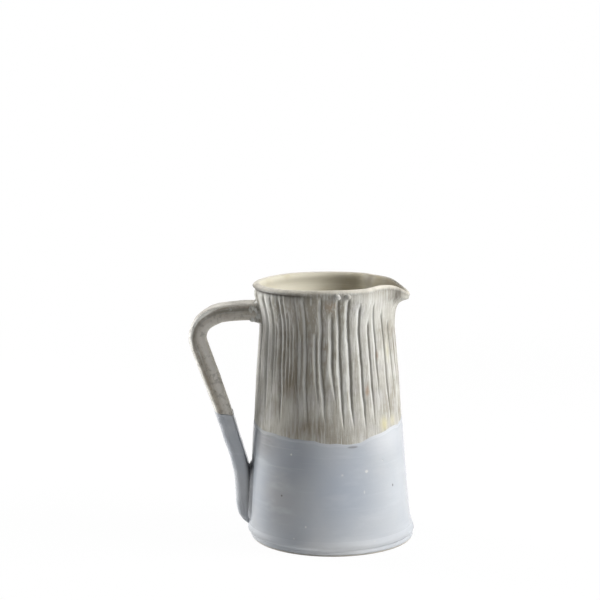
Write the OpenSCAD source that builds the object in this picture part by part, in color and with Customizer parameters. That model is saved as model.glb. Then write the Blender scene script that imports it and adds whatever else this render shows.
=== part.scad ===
// Stoneware jug: a tapered fluted body with a rolled rim and a pulled pouring lip, a luted base disc,
// a strap handle held by a clay collar above and a clay pad below, and three coats of glaze.
// Millimetres. +Z is up, +X points to the lip, and the origin is the middle of the foot's lower face.

/* [Body] */
// Height of the rim above the table
jug_height = 200; // [180:1:230]
// Outer radius that the wall's taper has at the table
foot_radius = 64; // [60:0.5:70]
// Outer radius of the wall at the neck, its narrowest place
neck_radius = 52.2; // [50:0.2:54]
// How far the neck lies below the rim
neck_depth = 34; // [30:1:38]
// Outer radius of the wall just under the rim's roll
shoulder_radius = 55; // [54:0.2:57]
// Thickness of the wall
wall = 5; // [4.4:0.2:6]

/* [Rim] */
// Width of the rim's roll across the wall
roll_width = 6.4; // [5.6:0.2:7.4]
// Height of the rim's roll
roll_height = 9; // [8:0.5:10]
// How far the roll stands out over the wall below it
roll_overhang = 2.2; // [1.4:0.2:2.8]

/* [Pouring lip] */
// Distance of the lip's tip from the jug's axis
lip_reach = 64.4; // [62:0.2:68]
// How far the tip hangs below the rim
lip_drop = 9; // [7:0.5:11]
// Half the width of the lip's channel at the rim
lip_half_width = 15.5; // [14:0.5:16.5]
// Thickness of the lip
lip_wall = 3.6; // [3:0.2:4.2]
// Height of the throat that swells from the wall below the tip
lip_throat = 18; // [15:1:20]

/* [Flutes] */
// Number of flutes carved round the wall
flute_count = 42; // [30:1:46]
// Radius of the gouge that carves a flute
flute_gouge = 4.2; // [3.4:0.2:5]
// Depth of a flute at the neck
flute_depth = 1.5; // [0.8:0.1:1.8]
// Height above the table where the flutes run out
flute_end = 98; // [96:1:116]

/* [Base] */
// Height of the foot that shows below the wall
foot_height = 4.6; // [3.6:0.2:6]
// How far the foot is set in from the wall above it
foot_inset = 1.4; // [1:0.2:2]
// Thickness of the floor above the foot
floor_rise = 4.4; // [3:0.2:6]
// Width of the ring that the jug stands on
ring_width = 12; // [8:1:18]
// Depth of the hollow under the foot
ring_depth = 1.4; // [0.8:0.2:2.2]

/* [Handle] */
// Distance of the handle's outer edge from the jug's axis
handle_reach = 108; // [104:1:114]
// How far the middle of the upper arm lies below the rim
handle_drop = 24; // [23:0.5:27]
// Thickness of the strap at its upper end
strap_thickness = 15; // [13:0.5:16]
// Width of the strap
strap_width = 22; // [18:1:25]
// Radius of the upper bend, to the middle of the strap
bend_radius = 18; // [15:1:21]
// Lean of the long arm from upright, in degrees
arm_lean = 18.5; // [17:0.5:19.5]
// Height at which the long arm turns in to the wall
tail_top = 66; // [62:1:70]
// Height of the handle's lower tip
tail_tip = 11; // [9:0.5:15]

/* [Clay joints] */
// How far the collar reaches along the upper arm from the wall
collar_length = 9; // [6:0.5:11]
// How far the collar spreads over the wall all round the strap
collar_spread = 5; // [3:0.5:6]
// Thickness of the pad under the handle's tail
pad_thickness = 2.4; // [2:0.2:3]
// How far the pad stands out all round the tail
pad_margin = 3; // [2:0.5:4]

/* [Glaze] */
// Thickness of the dipped glaze
dip_coat = 0.6; // [0.4:0.1:1]
// Height of the dip line on the body
dip_height = 86.5; // [76:0.5:90]
// Height of the dip line on the handle
handle_dip = 98; // [90:1:120]
// Height of the bare clay left at the bottom of the foot
bare_foot = 1.4; // [0.8:0.2:2]
// Thickness of the liner glaze inside
liner_coat = 0.5; // [0.3:0.1:0.8]

/* [Hidden] */
$fn = 96;

clay_tan = "#a39a8a";
dip_grey = "#a9aeb6";
liner_cream = "#cdc5ae";
raw_clay = "#b9ab97";

// How far a cutting shape runs past what it cuts
overrun = 2 * wall;

// Levels and radii of the body: a straight taper from foot to neck, then a soft flare up to the roll
neck_z = jug_height - neck_depth;
roll_z = jug_height - roll_height;
seat_z = foot_height;
floor_z = foot_height + floor_rise;
function taper_r(z) = foot_radius + (neck_radius - foot_radius) * z / neck_z;
function flare_r(z) = neck_radius + (shoulder_radius - neck_radius) * pow((z - neck_z) / (roll_z - neck_z), 2);
function wall_r(z) = z < neck_z ? taper_r(z) : flare_r(z);
foot_r = taper_r(seat_z) - foot_inset;
spigot_r = taper_r(floor_z) - wall;

// Heights of the rings that draw the flare, from the neck up
flare_steps = 4;
flare_levels = [for (i = [0 : flare_steps]) neck_z + (roll_z - neck_z) * i / flare_steps];

// The rim's roll is an oval bead, set over the wall so that it overhangs it outside
roll_r = shoulder_radius + roll_overhang - roll_width / 2;
roll_mid_z = jug_height - roll_height / 2;
roll_start = -50;
roll_end = 200;
roll_steps = 14;
function roll_point(a) = [roll_r + roll_width / 2 * cos(a), roll_mid_z + roll_height / 2 * sin(a)];
roll_points = [for (i = [0 : roll_steps]) roll_point(roll_start + (roll_end - roll_start) * i / roll_steps)];

// The wall's outside from its seat up to the roll, and its inside from the floor up to the roll
outside_points = concat([[taper_r(seat_z), seat_z]], [for (z = flare_levels) [wall_r(z), z]]);
function inside_points(coat) = concat([[spigot_r - coat, floor_z + coat]],
                                      [for (z = flare_levels) [wall_r(z) - wall - coat, z]]);
function reversed(points) = [for (i = [len(points) - 1 : -1 : 0]) points[i]];

// The pouring lip is a small bell standing in the wall, cut off by a plane that falls from rim to tip
bell_x = neck_radius - wall;
tip_z = jug_height - lip_drop;
throat_z = tip_z - lip_wall - lip_throat;
bell_foot_r = wall;
bell_steps = 8;
bell_power = 3;
notch_x = sqrt(pow(roll_r, 2) - pow(lip_half_width, 2));
lip_fall = atan2(lip_drop, lip_reach - notch_x);
function swell(low_r, high_r, low_z, high_z) = [for (i = [0 : bell_steps])
    let (s = i / bell_steps) [low_r + (high_r - low_r) * pow(s, bell_power), low_z + (high_z - low_z) * s]];

// Each flute wanders a little: its ends shift round the wall, and its depth and its lower end vary.
// The flutes behind the handle start below its collar, and those at the lip start below its throat.
flute_pitch = 360 / flute_count;
flute_seed = 12;
wander_share = 0.16;
depth_share = 0.2;
end_share = 0.07;
flute_shifts = rands(-1, 1, 4 * flute_count, flute_seed);
collar_low_z = jug_height - handle_drop - strap_thickness / 2 - collar_spread;
collar_half_angle = asin((strap_width / 2 + collar_spread + flute_gouge) / neck_radius);
lip_half_angle = asin((lip_reach - bell_x) / neck_radius);
function around(r, angle, z) = [r * cos(angle), r * sin(angle), z];

// The strap's middle line in the plane of the handle, as distance u from the jug's axis and height z
arm_z = jug_height - handle_drop;
root_u = neck_radius - wall;
bend_u = handle_reach - strap_thickness / 2 - bend_radius;
bend_z = arm_z - bend_radius;
lean_u = bend_u + bend_radius * cos(arm_lean);
lean_z = bend_z - bend_radius * sin(arm_lean);
function lean_at(z) = lean_u - (lean_z - z) * tan(arm_lean);

// The tail is a curve that leaves the long arm, turns along the wall and ends on the pad at its tip
tail_turn_share = 0.66;
tip_sink_share = 0.67;
tail_turn_z = tail_tip + (tail_top - tail_tip) * tail_turn_share;
tail_from = [lean_at(tail_top), tail_top];
tail_over = [taper_r(tail_turn_z) + pad_thickness + dip_coat, tail_turn_z];
tail_to = [taper_r(tail_tip) + pad_thickness * (1 - tip_sink_share), tail_tip];
function tail_at(s) = (1 - s) * (1 - s) * tail_from + 2 * s * (1 - s) * tail_over + s * s * tail_to;
function tail_heading(s) = let (d = (1 - s) * (tail_over - tail_from) + s * (tail_to - tail_over)) atan2(d[1], d[0]);

// The strap thins slowly down the long arm, and its tail is pressed thin and narrow at the tip
taper_share = 0.08;
thin_share = 0.86;
narrow_share = 0.35;
press_power = 6;
function thickness_at(z) = strap_thickness * (1 - taper_share * (arm_z - z) / (arm_z - tail_top));
function tail_thickness(s) = thickness_at(tail_top) * (1 - thin_share * pow(s, press_power));
function tail_width(s) = strap_width * (1 - narrow_share * pow(s, press_power));

// A station on the strap is [u, z, heading, half thickness, half width]
bend_steps = 10;
tail_steps = 14;
bend_stations = [for (i = [0 : bend_steps])
    let (a = 90 - (90 + arm_lean) * i / bend_steps, z = bend_z + bend_radius * sin(a))
        [bend_u + bend_radius * cos(a), z, a - 90, thickness_at(z) / 2, strap_width / 2]];
dip_stations = [[lean_at(handle_dip), handle_dip, -90 - arm_lean, thickness_at(handle_dip) / 2, strap_width / 2]];
tail_stations = [for (i = [0 : tail_steps])
    let (s = i / tail_steps, p = tail_at(s))
        [p[0], p[1], tail_heading(s), tail_thickness(s) / 2, tail_width(s) / 2]];
root_station = [root_u, arm_z, 0, strap_thickness / 2, strap_width / 2];
coated_stations = concat(dip_stations, tail_stations);
strap_stations = concat([root_station], bend_stations, coated_stations);

// The collar's stations follow the upper arm from inside the wall out to its thin edge
collar_steps = 6;
collar_end_u = wall_r(arm_z) + collar_length;
collar_stations = [for (i = [0 : collar_steps])
    [root_u + (collar_end_u - root_u) * i / collar_steps, arm_z, 0, strap_thickness / 2, strap_width / 2]];
function collar_growth(u) = dip_coat + (collar_spread - dip_coat) * pow(min(1, (collar_end_u - u) / collar_length), 2);

// A ring of points round a station, in a soft-cornered section that can be grown outward
section_sides = 24;
section_power = 2.8;
function soft(x) = sign(x) * pow(abs(x), 2 / section_power);
function ring(s, grow) = [for (k = [0 : section_sides - 1])
    let (a = 360 * k / section_sides, p = (s[3] + grow) * soft(cos(a)), q = (s[4] + grow) * soft(sin(a)))
        [p * sin(s[2]) - s[0], q, s[1] + p * cos(s[2])]];

// Faces between rings of points: the skin along a row of rings, and the flat end of a solid or a sleeve
function next(k) = (k + 1) % section_sides;
function skin(rings, first) = [for (i = [0 : rings - 2]) for (k = [0 : section_sides - 1])
    let (a = first + i * section_sides, b = a + section_sides)
        each [[a + k, a + next(k), b + k], [a + next(k), b + next(k), b + k]]];
function flipped(faces) = [for (f = faces) [f[2], f[1], f[0]]];
function disc(first) = [for (k = [1 : section_sides - 2]) [first, first + k + 1, first + k]];
function washer(outer, inner) = [for (k = [0 : section_sides - 1])
    each [[outer + k, inner + k, outer + next(k)], [outer + next(k), inner + k, inner + next(k)]]];

pad_low = tail_tip;
pad_half = strap_width / 2 + pad_margin;
pad_corner = pad_half / 2;

// A solid drawn through the rings of some stations
module sweep(stations) {
    count = len(stations);
    points = [for (s = stations) each ring(s, 0)];
    polyhedron(points, concat(skin(count, 0), disc(0), flipped(disc((count - 1) * section_sides))));
}

// A sleeve that fits on the sweep of the same stations; grow lists its thickness at each station
module sleeve(stations, grow) {
    count = len(stations);
    inner = count * section_sides;
    last = (count - 1) * section_sides;
    points = concat([for (i = [0 : count - 1]) each ring(stations[i], grow[i])],
                    [for (s = stations) each ring(s, 0)]);
    polyhedron(points, concat(skin(count, 0), flipped(skin(count, inner)), washer(0, inner),
                              flipped(washer(last, inner + last))));
}

// The body's space up to its outer face, filled solid
module body_space() {
    rotate_extrude()
        polygon(concat([[0, seat_z]], outside_points, roll_points, [[0, jug_height]]));
}

// The space that the handle stands off from: the body, with the pad's thickness added below
module handle_seat() {
    low = -overrun;
    rotate_extrude()
        polygon([[0, low], [taper_r(low) + pad_thickness, low],
                 [taper_r(tail_top) + pad_thickness, tail_top], [taper_r(tail_top), tail_top], [0, tail_top]]);
    body_space();
}

// A bar through the wall behind the handle's tail, in the pad's outline
module pad_outline() {
    height = tail_top - pad_low;
    rotate([0, -90, 0])
        linear_extrude(handle_reach)
            translate([pad_low, -pad_half])
                union() {
                    translate([pad_corner, 0]) square([height - 2 * pad_corner, 2 * pad_half]);
                    translate([0, pad_corner]) square([height, 2 * (pad_half - pad_corner)]);
                    for (x = [pad_corner, height - pad_corner], y = [pad_corner, 2 * pad_half - pad_corner])
                        translate([x, y]) circle(pad_corner);
                }
}

// The bell that the lip is cut from, and that its channel is cut by
module bell(low_r, high_r, low_z, high_z, top_z) {
    translate([bell_x, 0, 0])
        rotate_extrude()
            polygon(concat([[0, low_z]], swell(low_r, high_r, low_z, high_z), [[high_r, top_z], [0, top_z]]));
}

module lip_channel() {
    bell(bell_foot_r - lip_wall, lip_half_width, throat_z + lip_wall, tip_z, jug_height + overrun);
}

module lip() {
    difference() {
        bell(bell_foot_r, lip_reach - bell_x, throat_z, tip_z - lip_wall, jug_height);
        translate([lip_reach, 0, tip_z])
            rotate([0, lip_fall, 0])
                translate([-jug_height / 2, -jug_height / 2, 0])
                    cube(jug_height);
        body_space();
        cylinder(r = roll_r, h = 2 * jug_height);
    }
}

// A round bar from one point to another and a little past it
module bar(from, to, r) {
    along = to - from;
    translate(from)
        rotate([0, acos(along[2] / norm(along)), atan2(along[1], along[0])])
            cylinder(h = norm(along) + r / 4, r = r);
}

module flute(i) {
    angle = flute_pitch * (i + 1 / 2);
    upper = angle + flute_pitch * wander_share * flute_shifts[4 * i];
    lower = angle + flute_pitch * wander_share * flute_shifts[4 * i + 1];
    depth = flute_depth * (1 + depth_share * flute_shifts[4 * i + 2]);
    low_z = flute_end * (1 + end_share * flute_shifts[4 * i + 3]);
    at_handle = abs(angle - 180) < collar_half_angle;
    at_lip = abs(angle - 180) > 180 - lip_half_angle;
    top_z = at_handle ? collar_low_z - flute_gouge : at_lip ? throat_z - flute_gouge : neck_z;
    bar(around(taper_r(low_z) + flute_gouge, lower, low_z),
        around(taper_r(top_z) + flute_gouge - depth, upper, top_z), flute_gouge);
    if (!at_handle && !at_lip)
        bar(around(neck_radius + flute_gouge - depth, upper, neck_z),
            around(shoulder_radius + flute_gouge - depth, upper, roll_z - flute_gouge / 4), flute_gouge);
}

module body_wall() {
    color(clay_tan)
        difference() {
            union() {
                rotate_extrude()
                    polygon(concat(outside_points, roll_points, reversed(inside_points(0)), [[spigot_r, seat_z]]));
                lip();
            }
            lip_channel();
            for (i = [0 : flute_count - 1]) flute(i);
        }
}

module base_disc() {
    ring_r = foot_r - ring_width;
    bevel = bare_foot / 2;
    color(raw_clay)
        rotate_extrude()
            polygon([[0, ring_depth], [ring_r - ring_depth, ring_depth], [ring_r, 0], [foot_r - bevel, 0],
                     [foot_r, bevel], [foot_r, seat_z], [spigot_r, seat_z], [spigot_r, floor_z], [0, floor_z]]);
}

module handle_strap() {
    color(clay_tan)
        difference() {
            sweep(strap_stations);
            handle_seat();
        }
}

module upper_collar() {
    color(raw_clay)
        difference() {
            sleeve(collar_stations, [for (s = collar_stations) collar_growth(s[0])]);
            body_space();
        }
}

module lower_pad() {
    color(raw_clay)
        intersection() {
            rotate_extrude()
                polygon([[taper_r(seat_z), seat_z], [taper_r(seat_z) + pad_thickness, seat_z],
                         [taper_r(tail_top) + pad_thickness, tail_top], [taper_r(tail_top), tail_top]]);
            pad_outline();
        }
}

module body_dip_glaze() {
    edge_z = dip_height - 2 * dip_coat;
    step_z = seat_z - dip_coat;
    color(dip_grey)
        difference() {
            rotate_extrude()
                polygon([[foot_r, bare_foot], [foot_r + dip_coat, bare_foot], [foot_r + dip_coat, step_z],
                         [taper_r(step_z) + dip_coat, step_z], [taper_r(edge_z) + dip_coat, edge_z],
                         [taper_r(dip_height), dip_height], [taper_r(seat_z), seat_z], [foot_r, seat_z]]);
            pad_outline();
        }
}

module handle_dip_glaze() {
    color(dip_grey)
        difference() {
            sleeve(coated_stations, [for (s = coated_stations) dip_coat]);
            handle_seat();
        }
}

module liner_glaze() {
    color(liner_cream)
        difference() {
            rotate_extrude()
                polygon(concat([[0, floor_z]], inside_points(0), reversed(inside_points(liner_coat)),
                               [[0, floor_z + liner_coat]]));
            lip_channel();
        }
}

body_wall();
base_disc();
handle_strap();
upper_collar();
lower_pad();
body_dip_glaze();
handle_dip_glaze();
liner_glaze();
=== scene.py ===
"""Stoneware jug: its looks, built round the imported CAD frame. Metres; +Z up, +X to the lip, handle on -X."""
import math

import bmesh
import bpy
import numpy as np
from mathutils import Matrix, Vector


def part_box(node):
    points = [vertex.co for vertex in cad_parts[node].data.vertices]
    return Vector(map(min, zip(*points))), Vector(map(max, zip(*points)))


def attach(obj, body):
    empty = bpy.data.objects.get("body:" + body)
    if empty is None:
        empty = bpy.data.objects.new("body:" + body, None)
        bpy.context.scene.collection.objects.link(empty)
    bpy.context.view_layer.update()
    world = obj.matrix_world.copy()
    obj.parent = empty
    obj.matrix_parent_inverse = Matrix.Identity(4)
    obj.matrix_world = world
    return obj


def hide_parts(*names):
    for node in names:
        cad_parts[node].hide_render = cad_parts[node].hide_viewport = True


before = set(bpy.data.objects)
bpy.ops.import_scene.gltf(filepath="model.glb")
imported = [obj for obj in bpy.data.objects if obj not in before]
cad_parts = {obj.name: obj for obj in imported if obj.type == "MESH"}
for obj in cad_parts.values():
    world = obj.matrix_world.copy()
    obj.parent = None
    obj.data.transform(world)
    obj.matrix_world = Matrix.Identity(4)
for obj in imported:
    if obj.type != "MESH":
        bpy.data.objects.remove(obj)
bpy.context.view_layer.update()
BODY = "root"
MM = 0.001

# Sizes read from the frame
RIM_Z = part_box("body_wall")[1].z
SEAT_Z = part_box("body_wall")[0].z
FOOT_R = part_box("base_disc")[1].x
FLOOR_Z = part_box("base_disc")[1].z
TABLE_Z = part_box("base_disc")[0].z
BARE_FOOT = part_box("body_dip_glaze")[0].z
STRAP_HALF_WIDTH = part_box("handle_strap")[1].y
PAD_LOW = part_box("lower_pad")[0].z
PAD_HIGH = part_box("lower_pad")[1].z

# The thrown wall: a straight taper from the table to the neck, then a flare to the rim; and the foot ring
TABLE_R = 0.064
NECK_R = 0.0522
NECK_Z = RIM_Z - 0.034
SHOULDER_R = 0.0549
SHOULDER_Z = RIM_Z - 0.0098
WALL = 0.005
FOOT_RING = 0.0118
FOOT_HOLLOW = 0.0014
WALL_COLUMNS = 816
COAT_COLUMNS = 480
BASE_COLUMNS = 288

# The rim's section over the crest to the inside, in millimetres: radius, depth below the crest, roll
RIM_SECTION = [
    (55.1, 7.4, 0), (55.2, 5.2, -0.1), (55.3, 4, 0.1), (55.4, 3.4, 1.4), (55.4, 2.5, 2.2),
    (55.1, 1.3, 1.9), (54.5, 0.3, 0.9), (53.6, 0, 0.1), (52.5, 0.7, 0), (51.5, 3, 0), (50.7, 6.2, 0),
    (50.2, 9.5, 0)]
ROLL_LEAST = 0.1
# Where painted shade is laid under the rim's roll: its depth below the crest and its width
UNDERCUT_DEPTH = 0.0041
UNDERCUT_WIDTH = 0.0013

# The pulled lip and the pinched shoulders beside it
LIP_PULL = 0.0074
LIP_HALF_ANGLE = math.radians(13)
LIP_DROP = 0.0086
DROP_HALF_ANGLE = math.radians(15.5)
LIP_THROAT_Z = RIM_Z - 0.026
LIP_FACE_Z = RIM_Z - 0.009
LIP_LAG = 0.003
PINCH = 0.005
PINCH_ANGLE = math.radians(38)
PINCH_HALF_ANGLE = math.radians(15)
PINCH_RAISE = 0.0003
OVAL = 0.0004
RIM_RISE = 0.00055
RIM_TILT = 0.00025
RIM_LEAN = 0.0006
RIM_DIP = 0.0007
RIM_DIP_ANGLE = math.radians(-126)
RIM_DIP_HALF_ANGLE = math.radians(26)

# The thrown wall's stray from a true taper by the handle and by the lip: height and stray in millimetres
HANDLE_SIDE_STRAY = [
    (0, -2), (30, -1.1), (66, -0.6), (95, 0), (130, 0.6), (162, 0.4), (180, 0.8), (187, 1.3), (192, 1.4),
    (196, 0.3), (199, 0), (210, -0.4)]
LIP_SIDE_STRAY = [
    (0, 4), (6, 2.4), (14, 0.8), (30, 0.1), (65, -0.5), (100, -0.5), (130, -0.4), (162, -0.9), (178, -0.8),
    (195, 0), (210, 0)]

# Gouged flutes: the depth and widths of a full cut, how it slants and sways, and where it runs out
GOUGE_SEED = 12
GOUGE_SIZES = {"Depth": 0.0022, "Slope Width": 0.0034, "Wall Width": 0.0013, "Shoulder Width": 0.0048,
               "Slant": math.radians(3.2), "Sway": math.radians(3.5), "Seed": float(GOUGE_SEED)}
GOUGE_RUN_OUT = 0.024
GOUGE_RUN_IN = 0.007
SLANT_FROM_Z = 0.165
SLANT_TO_Z = 0.085
HANDLE_SPREAD = 0.7
LEFT_HANDED_BEFORE = math.radians(-114)
# How much of the painted shade in the steep walls the left-handed gouges get
LEFT_GROOVE_TONE = 0.85
GOUGE_TOP = RIM_Z - 0.003

# The gouges in the photograph: angle at mid height in degrees, share of the full depth, lower end, and
# upper end where it is not the usual one
GOUGES_IN_VIEW = [
    (-163.6, 0.55, 0.104), (-150.2, 0.65, 0.102), (-140.8, 0.6, 0.118), (-137, 0.35, 0.126, 0.176),
    (-132, 0.65, 0.098), (-127.6, 0.5, 0.122), (-123.8, 0.4, 0.122, 0.186),
    (-120.4, 0.35, 0.126, 0.176), (-116, 0.5, 0.099), (-112.9, 0.32, 0.112, 0.168),
    (-109, 0.7, 0.096), (-100.5, 0.65, 0.115, 0.17), (-95.7, 0.85, 0.102), (-87.2, 0.75, 0.117, 0.184),
    (-81.2, 0.82, 0.096), (-73.2, 0.85, 0.096), (-63, 0.8, 0.094, 0.191), (-54.2, 0.62, 0.097, 0.178),
    (-47.4, 0.62, 0.115, 0.191), (-35.8, 0.58, 0.098, 0.184), (-26.4, 0.48, 0.112, 0.176),
    (-17.8, 0.4, 0.118, 0.17)]
GOUGES_BEHIND = 23

# Crumbs of clay under the rim: the big ones by the angle of their gouge, and the span of the other sizes
BIG_BURRS = (-81.2, -73.2)
BIG_BURR_SIZE = 0.002
BURR_SIZES = (0.0005, 0.0009)
BURR_HEIGHT = 1.3
BURR_ROUGHNESS = 0.0006

# The dipped coat and the liner, the throwing rings in them, and the dip line's mean heights
DIP_COAT = 0.0006
HEEL_FLARE = 0.0006
LINER_COAT = 0.0005
LINER_RING = 0.00018
LINER_PITCH = 0.0066
THROWING_RING = 0.00005
THROWING_PITCH = 0.0082
DIP_MEAN = 0.0908
HANDLE_DIP_Z = 0.098

# Uneven steps in the dip line, as photographed: angle in degrees, millimetres above the even line
DIP_STEPS = [
    (-180, 0), (-165, 0), (-150, 0.4), (-138, 1.2), (-128, 1.3), (-117, 1.6), (-102, 2.1), (-95, 0.6),
    (-85, 0.1), (-76, -1.2), (-66, -0.8), (-60, 0.5), (-54, 1.7), (-44, 2.1), (-30, 2), (-20, -0.3),
    (-10, 0), (180, 0)]

# How far hidden faces sit under the clay, and the smallest ring, which a fan fills
TUCK = 0.0001
MIDDLE_R = 0.0015

# The strap: its middle line as distance from the axis and height in millimetres, then along the way its
# thickness in metres and its share of the half width
STRAP_PATH = [
    (50.5, 177.6), (60, 177.6), (72, 177.1), (82, 175.8), (88.9, 173.4), (94.8, 169.7), (98.8, 164.3),
    (100.4, 158), (99.5, 152), (96.9, 144.5), (93.3, 134.5), (86.7, 116), (80.4, 97.5), (74.9, 79.5),
    (70.6, 66), (67.6, 54.5), (65.9, 43), (65, 33), (64.5, 25), (63.4, 18.6), (61.3, 10.6)]
STRAP_THICKNESS = [
    (0, 0.0131), (0.14, 0.0132), (0.22, 0.0139), (0.3, 0.0146), (0.45, 0.0145), (0.58, 0.0132),
    (0.74, 0.012), (0.86, 0.013), (0.92, 0.0138), (0.96, 0.0126), (0.985, 0.0084), (1, 0.0028)]
STRAP_WIDTH = [(0, 1), (0.85, 1), (0.93, 0.94), (0.97, 0.84), (1, 0.66)]

# Half sections of the strap, on the arm and on the long run: out from the middle line, across
ARM_SECTION = [
    (0.97, 0), (0.98, 0.3), (0.99, 0.52), (1, 0.72), (0.98, 0.84), (0.9, 0.945), (0.78, 0.985),
    (0.58, 0.965), (0.3, 0.915), (0, 0.92), (-0.3, 0.95), (-0.6, 0.975), (-0.85, 0.94), (-0.96, 0.78),
    (-1, 0.5), (-1, 0)]
RUN_SECTION = [
    (1, 0), (0.98, 0.28), (0.92, 0.5), (0.8, 0.69), (0.64, 0.83), (0.46, 0.92), (0.28, 0.965),
    (0.14, 0.96), (0, 0.965), (-0.2, 0.98), (-0.5, 0.99), (-0.75, 0.975), (-0.9, 0.915), (-0.97, 0.78),
    (-1, 0.5), (-1, 0)]
INSIDE_SLOPE = 0.26
STRAP_ROWS = 150
STRAP_COLUMNS = 120

# The luted collar where the strap meets the wall
ARM_Z = 0.1761
COLLAR_U = 0.0612
COLLAR_END_U = 0.0505
COLLAR_SINK = 0.0013
COLLAR_TOP = 0.0088
COLLAR_BOTTOM = 0.0022
COLLAR_SIDE = 0.003
COLLAR_ROWS = 30
COLLAR_COLUMNS = 120

# The pressed pad under the strap's tail
PAD_HALF_WIDTH = 0.0195
PAD_THICKNESS = 0.0021
PAD_BEAD = 0.74
PAD_TRIM = 0.005
PAD_COLUMNS = 160


def between(value, low, high):
    """0 below low, 1 above high, and a smooth step between them."""
    t = np.clip((value - low) / (high - low), 0, 1)
    return t * t * (3 - 2 * t)


def hump(offset, width):
    return np.exp(-(offset / width) ** 2)


def smooth_path(points, count):
    """A smooth curve through given points, with count points on it, evenly spread over the spans."""
    points = np.asarray(points, float)
    ends = np.vstack([2 * points[0] - points[1], points, 2 * points[-1] - points[-2]])
    at = np.linspace(0, len(points) - 1, count)
    i = np.minimum(at.astype(int), len(points) - 2)
    t = (at - i)[:, None]
    a, b, c, d = ends[i], ends[i + 1], ends[i + 2], ends[i + 3]
    return 0.5 * (2 * b + (c - a) * t + (2 * a - 5 * b + 4 * c - d) * t ** 2
                  + (3 * b - a - 3 * c + d) * t ** 3)


def ripple(u, v, seed, around=64):
    """Smooth seeded noise from -1 to 1; it repeats every `around` units of u and every 64 of v."""
    grid = np.random.default_rng(seed).uniform(-1, 1, (around, 64))
    iu, iv = np.floor(u).astype(int), np.floor(v).astype(int)
    tu, tv = u - iu, v - iv
    tu, tv = tu * tu * (3 - 2 * tu), tv * tv * (3 - 2 * tv)
    a, b = grid[iu % around, iv % 64], grid[(iu + 1) % around, iv % 64]
    c, d = grid[iu % around, (iv + 1) % 64], grid[(iu + 1) % around, (iv + 1) % 64]
    return (a * (1 - tu) + b * tu) * (1 - tv) + (c * (1 - tu) + d * tu) * tv


def turns(angle, cells):
    """An angle counted in cells, so that noise with that many cells closes round the jug."""
    return angle / (2 * math.pi) * cells


def all_round(columns):
    return np.linspace(0, 2 * math.pi, columns, endpoint=False)[None, :]


def wrapped(angle):
    """The same angle from -pi to pi."""
    return (angle + math.pi) % (2 * math.pi) - math.pi


def taper_r(z):
    return TABLE_R + (NECK_R - TABLE_R) * z / NECK_Z


def outer_r(z):
    flare = NECK_R + (SHOULDER_R - NECK_R) * ((z - NECK_Z) / (SHOULDER_Z - NECK_Z)) ** 2
    return np.where(z < NECK_Z, taper_r(z), flare)


def strayed(z, angle):
    handle_side, lip_side = (np.interp(z / MM, *smooth_path(table, 120).T) * MM
                             for table in (HANDLE_SIDE_STRAY, LIP_SIDE_STRAY))
    return handle_side * (1 - np.cos(angle)) / 2 + lip_side * (1 + np.cos(angle)) / 2


def kept_roll(angle):
    """The share of the rim's roll left at an angle: all of it by the handle, little by the lip."""
    return ROLL_LEAST + (1 - ROLL_LEAST) * between(-np.cos(angle), 0.12, 0.46)


def pulled(r, z, roll, lag, angle):
    """Where the potter's hands move a point of the thrown wall; lag holds the inside back by a height."""
    turn = wrapped(angle)
    lip = hump(turn, LIP_HALF_ANGLE)
    droop = hump(turn, DROP_HALF_ANGLE)
    pinch = hump(np.abs(turn) - PINCH_ANGLE, PINCH_HALF_ANGLE)
    reach = np.clip((z - lag - LIP_THROAT_Z) / (LIP_FACE_Z - LIP_THROAT_Z), 0, 1) ** 3.1
    top = between(z - lag, RIM_Z - 0.02, RIM_Z)
    pinched = between(z, NECK_Z - 0.004, RIM_Z - 0.002)
    new_r = r + roll * kept_roll(angle) + LIP_PULL * lip * reach - PINCH * pinch * pinched
    new_z = z - LIP_DROP * droop * top + PINCH_RAISE * pinch * between(z, RIM_Z - 0.025, RIM_Z)
    sway = (OVAL * np.sin(2 * angle + 0.7) * z / RIM_Z + strayed(z, angle)) * between(r, 0, 0.04)
    tilt = RIM_RISE - RIM_TILT * np.sin(angle) - RIM_LEAN * between(-np.cos(angle), 0.5, 1)
    tilt = tilt - RIM_DIP * hump(turn - RIM_DIP_ANGLE, RIM_DIP_HALF_ANGLE)
    return new_r + sway, new_z + tilt * between(z, RIM_Z - 0.04, RIM_Z)


def points_at(x, y, z):
    return np.stack([x, y, z], axis=-1)


def swung(r, z, angle):
    return points_at(r * np.cos(angle), r * np.sin(angle), z + 0 * angle)


def turned(profile, columns):
    """A grid of points, one ring for each row of radius, height, roll and lag, pulled into shape."""
    angle = all_round(columns)
    r, z, roll, lag = (np.asarray(profile)[:, k][:, None] + 0 * angle for k in range(4))
    r, z = pulled(r, z, roll, lag, angle + 0 * r)
    return swung(r, z, angle)


def put(name, data):
    """A new object in the scene."""
    placed = bpy.data.objects.new(name, data)
    bpy.context.scene.collection.objects.link(placed)
    return placed


def mesh_object(name, points, faces, marks=None):
    mesh = bpy.data.meshes.new(name)
    mesh.from_pydata(points.reshape(-1, 3).tolist(), [], faces)
    for mark, values in (marks or {}).items():
        values = np.asarray(values, np.float32)
        kind, field = ("FLOAT_VECTOR", "vector") if values.size == points.size else ("FLOAT", "value")
        mesh.attributes.new(mark, kind, "POINT").data.foreach_set(field, values.ravel())
    work = bmesh.new()
    work.from_mesh(mesh)
    bmesh.ops.recalc_face_normals(work, faces=work.faces)
    work.to_mesh(mesh)
    work.free()
    mesh.polygons.foreach_set("use_smooth", [True] * len(mesh.polygons))
    return put(name, mesh)


def ring_faces(rows, columns, loop):
    """Quads between rings of points, closed round each ring; a loop joins the last ring to the first."""
    faces = []
    for i in range(rows if loop else rows - 1):
        a, b = i * columns, (i + 1) % rows * columns
        for j in range(columns):
            k = (j + 1) % columns
            faces.append((a + j, a + k, b + k, b + j))
    return faces


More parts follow.
